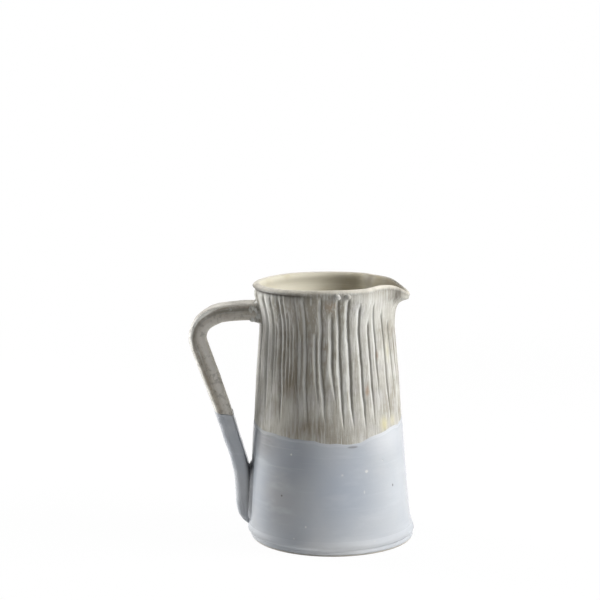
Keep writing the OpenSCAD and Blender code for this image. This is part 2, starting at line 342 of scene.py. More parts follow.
def loop_shell(name, grid, marks=None):
    """A closed skin whose rings run out, over and back to the first ring."""
    return mesh_object(name, grid, ring_faces(grid.shape[0], grid.shape[1], True), marks)


def capped_shell(name, grid, marks=None):
    """A closed skin whose first and last rings are each filled by a fan round their middle."""
    rows, columns = grid.shape[:2]
    faces = ring_faces(rows, columns, False)
    first, last = rows * columns, rows * columns + 1
    points = np.vstack([grid.reshape(-1, 3), grid[0].mean(axis=0), grid[-1].mean(axis=0)])
    end = (rows - 1) * columns
    for j in range(columns):
        k = (j + 1) % columns
        faces.append((first, k, j))
        faces.append((last, end + j, end + k))
    for mark, values in (marks or {}).items():
        flat = np.asarray(values).reshape(rows * columns, -1)
        marks[mark] = np.vstack([flat, flat[0], flat[-1]])
    return mesh_object(name, points, faces, marks)


# Node helpers, shared by the materials and the geometry trees

class Value:
    """A node's output that sums can be written with; each sum becomes a Math node of the same tree."""

    def __init__(self, tree, socket):
        self.tree, self.socket = tree, socket

    def beside(self, key):
        """Another output of the same node."""
        return Value(self.tree, self.socket.node.outputs[key])

    def __add__(self, other):
        return calc("ADD", self, other)

    def __sub__(self, other):
        return calc("SUBTRACT", self, other)

    def __rsub__(self, other):
        return calc("SUBTRACT", other, self)

    def __mul__(self, other):
        return calc("MULTIPLY", self, other)

    def __truediv__(self, other):
        return calc("DIVIDE", self, other)

    def __pow__(self, other):
        return calc("POWER", self, other)


def wire(value, socket):
    """Feeds a socket from a node's output, or sets it to a plain value."""
    if isinstance(value, Value):
        value.tree.links.new(value.socket, socket)
    else:
        socket.default_value = value


def place(tree, kind, inputs=None, key=0, **settings):
    """Adds a node to a tree and gives one of its outputs."""
    node = tree.nodes.new(kind)
    for name, value in settings.items():
        setattr(node, name, value)
    for name, value in (inputs or {}).items():
        wire(value, node.inputs[name])
    return Value(tree, node.outputs[key])


def fed(kind, inputs, key=0, **settings):
    """Adds a node to the tree that its inputs come from, and gives one of its outputs."""
    tree = next(value.tree for value in inputs.values() if isinstance(value, Value))
    return place(tree, kind, inputs, key, **settings)


def calc(operation, *values):
    return fed("ShaderNodeMath", dict(enumerate(values)), operation=operation)


def step(value, low, high, start=0, end=1):
    inputs = {0: value, 1: low, 2: high, 3: start, 4: end}
    return fed("ShaderNodeMapRange", inputs, interpolation_type="SMOOTHSTEP")


def noise(vector, scale, detail=2, roughness=0.5, seed=0):
    inputs = {"Vector": vector, "Scale": scale, "Detail": detail, "Roughness": roughness, "W": seed}
    return fed("ShaderNodeTexNoise", inputs, noise_dimensions="4D")


def vector_calc(operation, inputs, key=0):
    return fed("ShaderNodeVectorMath", inputs, key, operation=operation)


def grain(vector, across, up, detail, roughness=0.5, seed=0):
    """Noise with one fineness across and another up the jug, in cells to the metre."""
    return noise(vector_calc("MULTIPLY", {0: vector, 1: (across, across, up)}), 1, detail, roughness, seed)


def mixed(factor, first, second):
    return fed("ShaderNodeMix", {0: factor, 6: first, 7: second}, 2, data_type="RGBA")


def veiled(tone, veils):
    """Lays colours over a tone, each from none where its noise is low to a share where it is high."""
    for veil, low, high, share, colour in veils:
        tone = mixed(step(veil, low, high, 0, share), tone, colour)
    return tone


def bumped(layers):
    """A surface normal from bumps laid over each other, each a height and how far it stands out."""
    normal = None
    for height, distance in layers:
        inputs = {"Height": height, "Distance": distance, "Strength": 1}
        if normal:
            inputs["Normal"] = normal
        normal = fed("ShaderNodeBump", inputs)
    return normal


def dots(where, per_metre, radius, rarity, channel):
    """Small round spots in a few of the cells of an even scatter: 1 inside a spot, 0 outside."""
    colour = fed("ShaderNodeTexVoronoi", {"Vector": where, "Scale": per_metre}, "Color")
    drawn = fed("ShaderNodeSeparateColor", {0: colour}, channel)
    return step(colour.beside("Distance"), radius, radius * 0.5) * step(drawn, rarity, rarity + 0.02)


def paint(red, green, blue):
    """A colour as it looks on a screen, 0 to 255, turned into the linear one that shaders take."""
    def linear(v):
        c = v / 255
        return c / 12.92 if c <= 0.04045 else ((c + 0.055) / 1.055) ** 2.4
    return (linear(red), linear(green), linear(blue), 1)


TAN = paint(187, 185, 177)
OLIVE = paint(148, 143, 131)
TAUPE = paint(178, 175, 171)
# A dark tone: painted shade in the grooves, under the lip and on the rim by the handle, and mottling on the
# strap
SOOT_AND_SHADE = paint(104, 100, 92)
# A pale wash, also laid as painted light on the gouges' lit slopes
WASH_AND_LIGHT = paint(207, 208, 204)
RUST = paint(160, 118, 84)
OCHRE = paint(198, 190, 142)
RIM_CREAM = paint(208, 202, 189)
CREAM = paint(203, 198, 181)
HONEY = paint(184, 172, 144)
# A brown for stains, also laid as painted shade inside the lip and, in part, on the wall's left front
UMBER = paint(114, 104, 87)
BARE = paint(188, 181, 170)
GLAZE = paint(168, 173, 180)
GLAZE_WARM = paint(175, 178, 182)
# A pale glaze for the dip line's edges, also laid as painted light on the band above the foot
GLAZE_EDGE = paint(192, 193, 194)
MILK = paint(194, 198, 202)
SPECK = paint(92, 88, 84)
# A dark tone laid as painted shade under the rim's roll and on the roll's face by the handle
SHADE = paint(66, 62, 55)
# A dark grey laid as painted shade in the crevices round the strap's tail
CREVICE_SHADE = paint(64, 65, 68)
# A near white laid as painted light on the wall's left side and round the strap's bend
PALE_LIGHT = paint(236, 235, 229)
STRAP_BROWN = paint(178, 162, 140)
# A pale tone laid as painted light on the strap
STRAP_LIGHT = paint(214, 210, 202)
# A darker glaze laid as painted shade on the dim left front
GLAZE_SHADE = paint(134, 140, 149)
GLAZE_PALE = paint(212, 214, 216)
# A grey laid as painted shade over the lamp's sheen on the glaze's left
GLAZE_SHADE_GREY = paint(128, 128, 128)
GLAZE_BLUE = paint(166, 174, 186)

# Stains on the fluted wall, and painted light and shade on it: where they are and how far they reach in
# millimetres, colour, strength. The darkest patches, under and inside the lip and on the rim by the handle,
# are painted shadow and shade; the palest, on the wall's left side, are painted light, the lowest of them a
# painted highlight; the brown and olive patches on the left front are brown staining and partly painted shade.
WALL_STAINS_AND_PAINTED_LIGHT = [
    ((-21, -49, 146), (32, 56), UMBER, 0.45), ((-48, -25, 140), (24, 45), PALE_LIGHT, 0.42),
    ((34, -41, 168), (36, 50), WASH_AND_LIGHT, 0.25), ((0, -60, 98), (70, 40, 18), TAN, 0.4),
    ((43, -38, 96), (7.6, 9.2), OCHRE, 0.66), ((49.5, -28.5, 97.5), (6.6, 7), OCHRE, 0.4),
    ((37, -38, 150), (2.2, 7.5), RUST, 0.6), ((29, -46, 124), (2.6, 7), RUST, 0.45),
    ((1, -53, 189), (7, 8), RUST, 0.22), ((46, -28, 152), (4, 14), OCHRE, 0.4),
    ((-14, -56, 95.5), (38, 24, 19), UMBER, 0.74), ((-27, -48, 128.6), (15, 22), UMBER, 0.75),
    ((22, -53, 93.5), (22, 9), OLIVE, 0.35), ((54, 14, 196), (24, 15), SOOT_AND_SHADE, 0.7),
    ((52.5, -17.5, 192), (14, 10.5), SOOT_AND_SHADE, 1), ((-20.7, -49.2, 181.8), (20, 30), OLIVE, 0.66),
    ((33, -44, 196.5), (18, 6), OLIVE, 0.32), ((60, -8, 193), (11.5, 8), OLIVE, 0.66),
    ((-55.5, -14, 196.2), (13, 7), SOOT_AND_SHADE, 0.52), ((-45, -27, 176), (17, 28), PALE_LIGHT, 0.7),
    ((-38, -40, 109), (22, 16), OLIVE, 0.55), ((-54.5, -10, 115), (8, 12, 30), PALE_LIGHT, 0.6)]

# Broad clouds in the dipped glaze, and painted light and shade on it, given in the same way: the dark clouds
# and the mid-grey ones on the left front are painted shade, the mid-grey ones lying over the lamp's sheen
# there; the two darkest, beside the strap's tail, are painted shade in the crevice; the pale one low at the
# foot is painted light.
GLAZE_CLOUDS_AND_PAINTED_LIGHT = [
    ((-25, -54, 73), (30, 45), GLAZE_SHADE, 0.7), ((-24, -56, 30), (22, 30), GLAZE_SHADE, 0.3),
    ((50, -32, 40), (40, 50, 70), MILK, 0.55), ((-26, -58, 12), (18, 20, 22), GLAZE_SHADE, 0.35),
    ((-47, -34, 84), (26, 30, 24), GLAZE_SHADE_GREY, 0.75), ((-38, -47, 40), (23, 52), GLAZE_SHADE_GREY, 0.5),
    ((10, -60, 50), (34, 30, 60), GLAZE_BLUE, 0.7), ((20, -60, 18), (60, 36, 26), MILK, 0.42),
    ((44, -38, 88), (34, 20), GLAZE_PALE, 0.55), ((16, -60, 3), (56, 32, 15), GLAZE_PALE, 0.9),
    ((-59.5, -12.5, 53), (6, 8, 26), CREVICE_SHADE, 0.9), ((-60.8, -13.8, 32), (5.5, 6.2, 20), CREVICE_SHADE, 0.75)]

# Darker brown patches in the liner under the rim, given in the same way; the two by the lip are painted shade
# inside its channel
LINER_STAINS_AND_SHADE = [
    ((12, 50, 188), (28, 22), UMBER, 0.36), ((52, 14, 192), (24, 30, 22), UMBER, 0.7),
    ((33.5, 34.5, 197), (11.5, 13), UMBER, 0.8)]

# Flaws in the dipped glaze, given in the same way: pale chips, dark specks and one smear by the dip line
GLAZE_FLAWS = [
    ((29, -52.5, 63.4), (2, 1.7), WASH_AND_LIGHT, 0.85), ((10.6, -59, 62), (1.4, 1.3), WASH_AND_LIGHT, 0.6),
    ((9.5, -58.2, 80), (0.9, 2), WASH_AND_LIGHT, 0.6), ((27.2, -54.5, 48), (0.9, 2.2), WASH_AND_LIGHT, 0.55),
    ((34, -53.5, 10), (2.6, 1.4), WASH_AND_LIGHT, 0.8), ((-27.8, -52, 76.3), (1.1, 1.1), WASH_AND_LIGHT, 0.7),
    ((-17.1, -60.4, 22.5), (1.2, 1.4), WASH_AND_LIGHT, 0.8), ((-35.4, -50, 44), (1.3, 1.3), SPECK, 0.8),
    ((49, -36, 48.7), (1.2, 1.6), SPECK, 0.6), ((18.6, -55.6, 82.6), (6, 1.2), SPECK, 0.5)]


def new_material(name):
    material = bpy.data.materials.new(name)
    material.use_nodes = True
    return material, place(material.node_tree, "ShaderNodeTexCoord", key="Object")


def dressed(material, tone, roughness, normal, shine=0.5):
    shader = material.node_tree.nodes["Principled BSDF"]
    for name, value in (("Base Color", tone), ("Roughness", roughness), ("Specular IOR Level", shine),
                        ("Normal", normal)):
        wire(value, shader.inputs[name])
    return material


def mark_of(where, name, key="Fac"):
    """A mark that a piece's points carry."""
    return place(where.tree, "ShaderNodeAttribute", key=key, attribute_name=name)


def near(where, spot, reach):
    """1 at a spot, falling softly to 0 at a reach across and up, or along each axis; in millimetres."""
    middle = tuple(v * MM for v in spot)
    along_axes = (reach[0], *reach)[-3:]
    offset = vector_calc("SUBTRACT", {0: where, 1: middle})
    shares = vector_calc("MULTIPLY", {0: offset, 1: tuple(1 / (r * MM) for r in along_axes)})
    return step(vector_calc("LENGTH", {0: shares}, 1), 1, 0)


# Lays patches of colour on a tone: stains, and from the wall, glaze and liner tables also painted light and
# shade
def stained(tone, where, stains, soaked=None):
    for spot, reach, colour, strength in stains:
        share = near(where, spot, reach) * strength
        tone = mixed(share * soaked if soaked else share, tone, colour)
    return tone


def clay_material(name, unrolled=False):
    """Dry stoneware under a thin pale wash: streaked lengthwise and stained in places, with painted light on
    the gouges' lit slopes, the strap's lit faces and parts of the wall's left side, and painted shade under
    the rim's roll, in the gouges' steep walls, on the strap, in the collar's crevices and by the lip.
    """
    material, where = new_material(name)
    if unrolled:
        where = mark_of(where, "unrolled", "Vector")
    streak = grain(where, 560, 30, 3, 0.65)
    band = grain(where, 190, 12, 2, 0.5, 8)
    fine = grain(where, 1250, 24, 2, 0.6, 6)
    grit = noise(where, 900, 3, 0.7)
    rim = mark_of(where, "rim")
    tone = mixed(step(noise(where, 30, 4, 0.6), 0.4, 0.62), TAN, OLIVE)
    tone = mixed(step(noise(where, 55, 3, 0.6, 5), 0.45, 0.65), tone, TAUPE)
    if unrolled:
        tone = mixed(0.45, tone, STRAP_BROWN)
    tone = veiled(tone, [(band, 0.52, 0.7, 0.45, OLIVE), (band, 0.46, 0.32, 0.5, WASH_AND_LIGHT),
                         (streak, 0.52, 0.72, 0.55, OLIVE), (streak, 0.46, 0.3, 0.55, WASH_AND_LIGHT),
                         (noise(where, 70, 3, 0.6, 3), 0.66, 0.76, 0.35, RUST),
                         (fine, 0.53, 0.66, 0.6, OLIVE), (fine, 0.47, 0.34, 0.6, WASH_AND_LIGHT)])
    if not unrolled:
        rubbed = step(noise(where, 160, 3, 0.65, 7), 0.36, 0.58, 0.45, 0.9)
        tone = mixed(rim * rubbed, tone, RIM_CREAM)
        tone = stained(tone, where, WALL_STAINS_AND_PAINTED_LIGHT, step(streak, 0.38, 0.62, 0.6, 1.2))
    # Painted shade under the rim's roll, and over the roll's face on the handle side
    tone = mixed(mark_of(where, "undercut_shade") * 0.95, tone, SHADE)
    # Painted shade in the gouges' steep walls, in the groove along the strap's side and in the collar's
    # crevices
    tone = mixed(mark_of(where, "groove") * 0.55, tone, SOOT_AND_SHADE)
    # Pale in patches: painted light over the wash on the gouges' lit slopes, painted light on the strap's lit
    # faces, and the wash's smears on the collar
    least, most, rib_tone = (0.75, 0.95, STRAP_LIGHT) if unrolled else (0.45, 0.85, WASH_AND_LIGHT)
    rib_patches = step(grain(where, 90, 45, 3, 0.6, 2), 0.34, 0.52, least, most)
    tone = mixed(mark_of(where, "rib") * rib_patches, tone, rib_tone)
    if unrolled:
        # Painted light round the strap's bend
        tone = mixed(mark_of(where, "bend_light") * 0.9, tone, PALE_LIGHT)
        mottle = noise(where, 240, 4, 0.7, 9)
        tone = veiled(tone, [(mottle, 0.5, 0.64, 0.4, SOOT_AND_SHADE), (mottle, 0.46, 0.34, 0.35, WASH_AND_LIGHT)])
    tone = veiled(tone, [(grit, 0.6, 0.76, 0.25, WASH_AND_LIGHT)])
    calm = 1 - rim * 0.85
    brushed = grain(where, 46, 620, 3, 0.6)
    normal = bumped([(grit, 0.00014), (streak * calm, 0.00045), (brushed, 0.0001)])
    return dressed(material, tone, 0.78, normal, 0.3)


def glaze_material():
    """Blue-grey dipped glaze: glossy and clouded, with faint throwing rings, chips and dark specks."""
    material, where = new_material("dipped_grey_glaze")
    smear = grain(where, 26, 75, 3, 0.55, 4)
    rings = grain(where, 14, 260, 3, 0.6)
    peel = noise(where, 420, 2, 0.5)
    pinhole = dots(where, 120, 0.1, 0.88, 0)
    edge = mark_of(where, "edge")
    tone = mixed(step(noise(where, 26, 4, 0.55), 0.4, 0.62), GLAZE, GLAZE_WARM)
    # Clouds in the glaze, with painted shade on the left front and beside the strap's tail, and painted light
    # at the foot
    tone = stained(tone, where, GLAZE_CLOUDS_AND_PAINTED_LIGHT)
    tone = veiled(tone, [(smear, 0.5, 0.7, 0.28, MILK), (rings, 0.55, 0.75, 0.25, MILK)])
    # Paler along the dip line's edges, and as painted light on the band above the foot
    tone = mixed(edge * 0.16, tone, GLAZE_EDGE)
    # Painted shade in the crevices beside the strap's tail and round the pad
    tone = mixed(mark_of(where, "crevice_shade") * 0.85, tone, CREVICE_SHADE)
    tone = mixed(pinhole * 0.5, tone, WASH_AND_LIGHT)
    tone = mixed(dots(where, 74, 0.06, 0.93, 1) * 0.7, tone, SPECK)
    tone = veiled(tone, [(near(where, spot, reach), 0, 0.5, strength, flaw)
                         for spot, reach, flaw, strength in GLAZE_FLAWS])
    normal = bumped([(peel, 0.00004), (rings, 0.0001), (smear, 0.0002), (pinhole * -1, 0.0002)])
    return dressed(material, tone, step(edge, 0, 1, 0.2, 0.62), normal)


def liner_material():
    """Satin cream glaze inside, pooled and browner in the throwing lines, with darker brown patches under the
    rim, those by the lip painted shade.
    """
    material, where = new_material("cream_liner_glaze")
    rings = grain(where, 12, 330, 3, 0.6)
    tone = mixed(step(noise(where, 30, 4, 0.6), 0.44, 0.72), CREAM, HONEY)
    tone = veiled(tone, [(rings, 0.6, 0.8, 0.5, OLIVE)])
    tone = stained(tone, where, LINER_STAINS_AND_SHADE)
    tone = mixed(dots(where, 150, 0.16, 0.84, 2) * 0.5, tone, RUST)
    return dressed(material, tone, 0.62, bumped([(rings, 0.0003)]), 0.25)


def bare_material():
    """Unglazed fired clay with grog in it."""
    material, where = new_material("bare_fired_clay")
    grog = noise(where, 700, 3, 0.7)
    tone = mixed(step(noise(where, 45, 4, 0.6), 0.38, 0.66), BARE, TAN)
    tone = veiled(tone, [(grog, 0.6, 0.75, 0.5, OLIVE)])
    return dressed(material, tone, 0.88, bumped([(grog, 0.0002)]))


# Geometry trees

def new_tree(name, inputs):
    tree = bpy.data.node_groups.new(name, "GeometryNodeTree")
    tree.interface.new_socket("Geometry", in_out="OUTPUT", socket_type="NodeSocketGeometry")
    for label, kind in [("Geometry", "Geometry"), *inputs]:
        tree.interface.new_socket(label, in_out="INPUT", socket_type="NodeSocket" + kind)
    return tree, {socket.name: Value(tree, socket) for socket in tree.nodes.new("NodeGroupInput").outputs}


def close_tree(geometry, material):
    solid = fed("GeometryNodeRealizeInstances", {0: geometry})
    clad = fed("GeometryNodeSetMaterial", {"Geometry": solid, "Material": material})
    wire(clad, geometry.tree.nodes.new("NodeGroupOutput").inputs[0])
    return geometry.tree


def stored(tree, name):
    return place(tree, "GeometryNodeInputNamedAttribute", {"Name": name}, data_type="FLOAT")


def held(value):
    return fed("ShaderNodeClamp", {0: value})


def gouge_tree():
    """Cuts a table's gouges into the points marked outside: a long slope to a steep wall, run out below; it
    marks the slope for painted light and the steep wall for painted shade.
    """
    floats = [(label, "Float") for label in GOUGE_SIZES]
    tree, given = new_tree("gouge_flutes", [("Gouges", "Object"), *floats, ("Material", "Material")])
    spot = place(tree, "GeometryNodeInputPosition")
    x = fed("ShaderNodeSeparateXYZ", {0: spot})
    y, z = x.beside(1), x.beside(2)
    slow = grain(spot, 55, 30, 1, seed=given["Seed"])
    quick = grain(spot, 150, 90, 1, seed=given["Seed"])
    sway = slow - 0.5 + (quick - 0.5) * 0.35
    slant = step(z, SLANT_FROM_Z, SLANT_TO_Z) * given["Slant"]
    aim = calc("ARCTAN2", y, x) - slant + sway * given["Sway"]
    ring = fed("ShaderNodeCombineXYZ", {0: calc("COSINE", aim), 1: calc("SINE", aim)})
    table = fed("GeometryNodeObjectInfo", {"Object": given["Gouges"]}, "Geometry")
    nearest = fed("GeometryNodeSampleNearest", {"Geometry": table, "Sample Position": ring})

    def own(value, kind="FLOAT"):
        inputs = {"Geometry": table, "Value": value, "Index": nearest}
        return fed("GeometryNodeSampleIndex", inputs, data_type=kind)

    middle = own(place(tree, "GeometryNodeInputPosition"), "FLOAT_VECTOR")
    share, low, high, spread, hand = (own(stored(tree, name))
                                      for name in ("share", "low", "high", "spread", "hand"))
    turn = vector_calc("CROSS_PRODUCT", {0: middle, 1: ring})
    radius = calc("SQRT", x * x + y * y)
    apart = fed("ShaderNodeSeparateXYZ", {0: turn}, 2) * radius / spread * hand
    run_out = held((z - low) / GOUGE_RUN_OUT) ** 0.6
    run_in = step(z, high, high - GOUGE_RUN_IN)
    breadth = share ** 0.6 * (run_out * 0.85 + 0.15)
    slope = apart / (given["Slope Width"] * breadth) + 1
    wall = 1 - apart / (given["Wall Width"] * breadth)
    shoulder = 1 - apart / given["Shoulder Width"]
    bank = held(wall) * 0.72 + held(shoulder) ** 1.4 * 0.28
    scoop = held(slope) ** 1.25 * bank
    # Painted light on the long slope that faces the lamps, painted shade on the steep wall beside it
    lit_side = step(slope, 0.05, 0.55) * step(apart, 0.0002, -0.0005)
    dark_side = step(apart, -0.0005, 0.0002) * step(apart, 0.0022, 0.0004)
    zone = run_out * run_in * stored(tree, "outside")
    cut = scoop * (zone * share) * (given["Depth"] * -1)
    out = vector_calc("NORMALIZE", {0: fed("ShaderNodeCombineXYZ", {0: x, 1: y})})
    strength = zone * calc("MINIMUM", share ** 0.5, 1)
    # The left-handed gouges get less of the painted shade
    left_tone = step(hand, -1, 1, LEFT_GROOVE_TONE, 1)
    marked = given["Geometry"]
    for name, value in (("groove", dark_side * (strength * left_tone)), ("rib", lit_side * strength)):
        inputs = {"Geometry": marked, "Name": name, "Value": value}
        marked = fed("GeometryNodeStoreNamedAttribute", inputs, data_type="FLOAT", domain="POINT")
    shift = vector_calc("SCALE", {0: out, "Scale": cut})
    moved = fed("GeometryNodeSetPosition", {"Geometry": marked, "Offset": shift})
    return close_tree(moved, given["Material"])


def burr_tree():
    """Sets a rough crumb of clay at each point, of the point's own size."""
    tree, given = new_tree("clay_burrs", [("Roughness", "Float"), ("Seed", "Int"), ("Material", "Material")])
    crumb = place(tree, "GeometryNodeMeshIcoSphere", {"Radius": 1, "Subdivisions": 4})
    any_way = {0: (0, 0, 0), 1: (6.28, 6.28, 6.28), "Seed": given["Seed"]}
    turn = fed("FunctionNodeRandomValue", any_way, data_type="FLOAT_VECTOR")
    size = stored(tree, "size")
    scale = fed("ShaderNodeCombineXYZ", {0: size, 1: size, 2: size * BURR_HEIGHT})
    spread = fed("GeometryNodeInstanceOnPoints",
                 {"Points": given["Geometry"], "Instance": crumb, "Rotation": turn, "Scale": scale})
    solid = fed("GeometryNodeRealizeInstances", {0: spread})
    lump = (noise(place(tree, "GeometryNodeInputPosition"), 900) - 0.5) * given["Roughness"]
    push = vector_calc("SCALE", {0: place(tree, "GeometryNodeInputNormal"), "Scale": lump})
    rough = fed("GeometryNodeSetPosition", {"Geometry": solid, "Offset": push})
    return close_tree(fed("GeometryNodeSetShadeSmooth", {"Geometry": rough}), given["Material"])


def grown(piece, tree, sizes):
    """Runs a geometry tree on a piece and keeps its result as the piece's plain mesh."""
    modifier = piece.modifiers.new(tree.name, "NODES")
    modifier.node_group = tree
    for item in tree.interface.items_tree:
        if item.in_out == "INPUT" and item.name in sizes:
            modifier[item.identifier] = sizes[item.name]
    graph = bpy.context.evaluated_depsgraph_get()
    evaluated = piece.evaluated_get(graph)
    mesh = bpy.data.meshes.new_from_object(evaluated, preserve_all_data_layers=True, depsgraph=graph)
    piece.modifiers.remove(modifier)
    piece.data = mesh


def finish_piece(piece, material, slot, *nodes):
    piece.data.materials.clear()
    piece.data.materials.append(material)
    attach(piece, BODY)
    if nodes:
        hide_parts(*nodes)


# The jug's body

def inner_lag(z):
    return LIP_LAG * between(RIM_Z - z, 0, 0.006)


def rim_rows(count):
    """The rim's rows from the shoulder over the crest, and how many of them belong to the outside."""
    start = (float(outer_r(SHOULDER_Z)) / MM, (RIM_Z - SHOULDER_Z) / MM, 0)
    path = smooth_path([start] + RIM_SECTION, count) * MM
    crest = int(np.argmin(path[:, 1]))
    rows = [(r, RIM_Z - depth, roll, inner_lag(RIM_Z - depth) if i > crest else 0)
            for i, (r, depth, roll) in enumerate(path)]
    return rows, crest


def inner_rows(heights):
    return [(float(outer_r(z)) - WALL, z, 0, inner_lag(z)) for z in heights]


def make_wall(material):
    low = np.linspace(0.0075, 0.078, 5)
    high = np.linspace(0.08, SHOULDER_Z, 74)
    heel = [(FOOT_R - 0.0008, SEAT_Z), (FOOT_R - 0.0002, 0.0054), (FOOT_R + 0.0006, 0.0061)]
    outside = [(r, z, 0, 0) for r, z in heel]
    outside += [(float(outer_r(z)), z, 0, 0) for z in np.concatenate([low, high])]
    rim, crest = rim_rows(27)
    inside = inner_rows(np.linspace(SHOULDER_Z - 0.003, FLOOR_Z, 8))
    foot = [(inside[-1][0], SEAT_Z, 0, LIP_LAG)]
    profile = outside + rim[1:] + inside + foot
    marks = np.zeros((len(profile), WALL_COLUMNS))
    marks[:len(outside) + crest - 1] = 1
    heights = np.asarray([row[1] for row in profile])[:, None]
    rim_mark = between(heights, RIM_Z - 0.0032, RIM_Z - 0.0012) + 0 * marks
    angle = all_round(WALL_COLUMNS)
    depth = RIM_Z - heights
    # Painted shade: a dark band under the rim's roll, as much as the roll is kept, and over the roll's face on
    # the handle side
    under_roll_shade = hump(depth - UNDERCUT_DEPTH, UNDERCUT_WIDTH) * kept_roll(angle)
    roll_face_shade = 0.7 * between(depth, 0.0008, 0.0022) * (1 - between(depth, 0.004, 0.0065))
    undercut_shade = np.maximum(under_roll_shade, roll_face_shade * between(-np.cos(angle), 0.72, 0.94)) * marks
    wall_marks = {"outside": marks, "rim": rim_mark, "undercut_shade": undercut_shade}
    wall = loop_shell("fluted_wall", turned(profile, WALL_COLUMNS), wall_marks)
    table = gouge_table()
    grown(wall, gouge_tree(), {"Gouges": table, **GOUGE_SIZES, "Material": material})
    bpy.data.objects.remove(table)
    finish_piece(wall, material, "fluted_clay", "body_wall")


def all_gouges():
    """The gouges that show in the photograph, and a run of the same kind round the rest of the jug."""
    draw = np.random.default_rng(GOUGE_SEED)
    rows = [(*row, GOUGE_TOP)[:4] for row in GOUGES_IN_VIEW]
    first, last = GOUGES_IN_VIEW[-1][0], GOUGES_IN_VIEW[0][0] + 360
    pitch = (last - first) / (GOUGES_BEHIND + 1)
    for i in range(GOUGES_BEHIND):
        angle = first + pitch * (i + 1 + draw.uniform(-0.2, 0.2))
        top = GOUGE_TOP - max(0, draw.uniform(-0.04, 0.016))
        rows.append((angle, draw.uniform(0.45, 0.85), draw.uniform(0.095, 0.117), top))
    return rows


def gouge_table():
    rows = np.asarray(all_gouges())
    angle = np.radians(rows[:, 0])
    spots = points_at(np.cos(angle), np.sin(angle), 0 * angle)
    spread = 1 + HANDLE_SPREAD * between(-np.cos(angle), 0.55, 0.92)
    marks = {"share": rows[:, 1], "low": rows[:, 2], "high": rows[:, 3], "spread": spread,
             "hand": np.where(angle < LEFT_HANDED_BEFORE, -1, 1)}
    return mesh_object("gouge_table", spots, [], marks)


def make_burrs(material):
    """Crumbs of clay that the gouge pushed up under the rim."""
    draw = np.random.default_rng(GOUGE_SEED + 1)
    spots, sizes = [], []
    for degrees, _, _, top in all_gouges():
        big = degrees in BIG_BURRS
        if top < GOUGE_TOP or -170 < degrees < -100 or not (big or draw.uniform() < 0.4):
            continue
        size = BIG_BURR_SIZE if big else draw.uniform(*BURR_SIZES)
        angle = math.radians(degrees - 1.6)
        r, z = pulled(0.0559, RIM_Z - 0.0046, 0.0004, 0, np.asarray(angle))
        reach = float(r) + 0.25 * size
        spots.append((reach * math.cos(angle), reach * math.sin(angle), float(z)))
        sizes.append(size)
    burrs = mesh_object("clay_burrs", np.asarray(spots), [], {"size": sizes})
    grown(burrs, burr_tree(), {"Roughness": BURR_ROUGHNESS, "Seed": GOUGE_SEED, "Material": material})
    finish_piece(burrs, material, "fluted_clay")


def make_base(material):
    """The floor slab with its spigot, the foot band and the hollow inside the foot ring."""
    ring_in, spigot_r = FOOT_R - FOOT_RING, float(taper_r(SEAT_Z)) - WALL - 0.0003
    section = [(MIDDLE_R, FOOT_HOLLOW), (0.02, FOOT_HOLLOW), (ring_in - 0.0014, FOOT_HOLLOW),
               (ring_in - 0.0004, 0.0009), (ring_in, 0.0001), (ring_in + 0.0006, 0),
               (FOOT_R - 0.0018, 0), (FOOT_R - 0.001, 0.0002), (FOOT_R - 0.0003, 0.0009),
               (FOOT_R, 0.002), (FOOT_R - 0.0002, 0.0034), (FOOT_R - 0.0008, SEAT_Z), (spigot_r, SEAT_Z),
               (spigot_r, FLOOR_Z - 0.0002), (spigot_r - 0.0004, FLOOR_Z), (MIDDLE_R, FLOOR_Z)]
    angle = all_round(BASE_COLUMNS)
    r, z = (np.asarray(section)[:, k][:, None] + 0 * angle for k in range(2))
    r = r * (1 + strayed(z, angle) / FOOT_R)
    base = capped_shell("jug_base", swung(r, z + TABLE_Z, angle))
    finish_piece(base, material, "bare_clay", "base_disc")


def dip_edge(angle):
    """The height of the dip line round the body: low in front, higher at the sides, in uneven steps."""
    slow = (0.0016 * np.cos(angle) + 0.003 * np.sin(angle) + 0.0032 * np.cos(2 * angle)
            + 0.0008 * np.sin(2 * angle))
    steps = (0.001 * ripple(turns(angle, 17), 0 * angle, 21, 17)
             + 0.0003 * ripple(turns(angle, 61), 0 * angle, 22, 61))
    stepped = np.interp(np.degrees(wrapped(angle)), *smooth_path(DIP_STEPS, 240).T) * MM
    return DIP_MEAN + slow + steps + stepped


def throwing_rings(z, angle):
    """How far the thrower's finger marks stand out from the plain taper."""
    wander = 0.8 * np.sin(angle + 0.4) + 40 * z
    depth = 0.6 + 0.4 * ripple(turns(angle, 9), z * 70, 5, 9)
    return THROWING_RING * np.sin(2 * math.pi * z / THROWING_PITCH + wander) * depth


